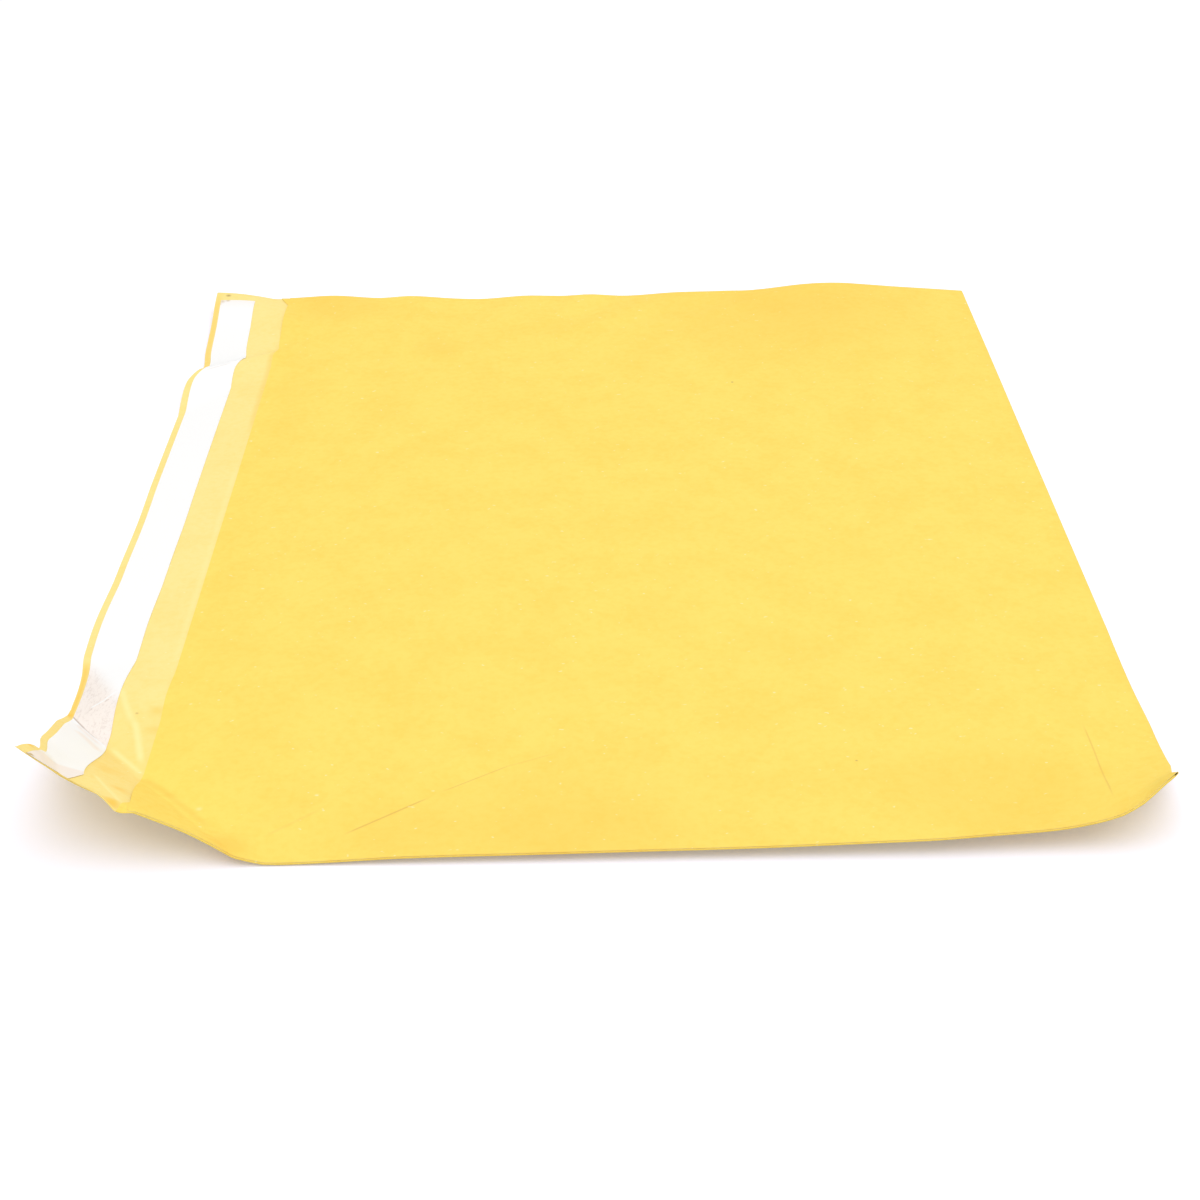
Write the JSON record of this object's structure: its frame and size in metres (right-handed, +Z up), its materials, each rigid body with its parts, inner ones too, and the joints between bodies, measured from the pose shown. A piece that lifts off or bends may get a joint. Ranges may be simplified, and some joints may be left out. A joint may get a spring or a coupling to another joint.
{
  "type": "kraft envelope",
  "caption": "Flat kraft paper pocket envelope, empty, lying with its closing flap open and a release liner still on the flap's adhesive.",
  "frame": {"origin": "middle of the pocket's underside, on the surface that it lies on", "axes": "+X from the mouth to the bottom fold, +Y along the mouth from the near side fold to the far one, +Z up"},
  "size_m": [0.2534, 0.324, 0.0264],
  "materials": {
    "kraft_paper": "matt machine-finished golden kraft paper, paler inside",
    "adhesive": "clear tacky hot-melt adhesive",
    "liner_paper": "white siliconed paper with a faint sheen"
  },
  "bodies": {
    "root": {"envelope": "kraft_paper", "adhesive_band": "adhesive", "release_liner": "liner_paper"}
  },
  "joints": []
}
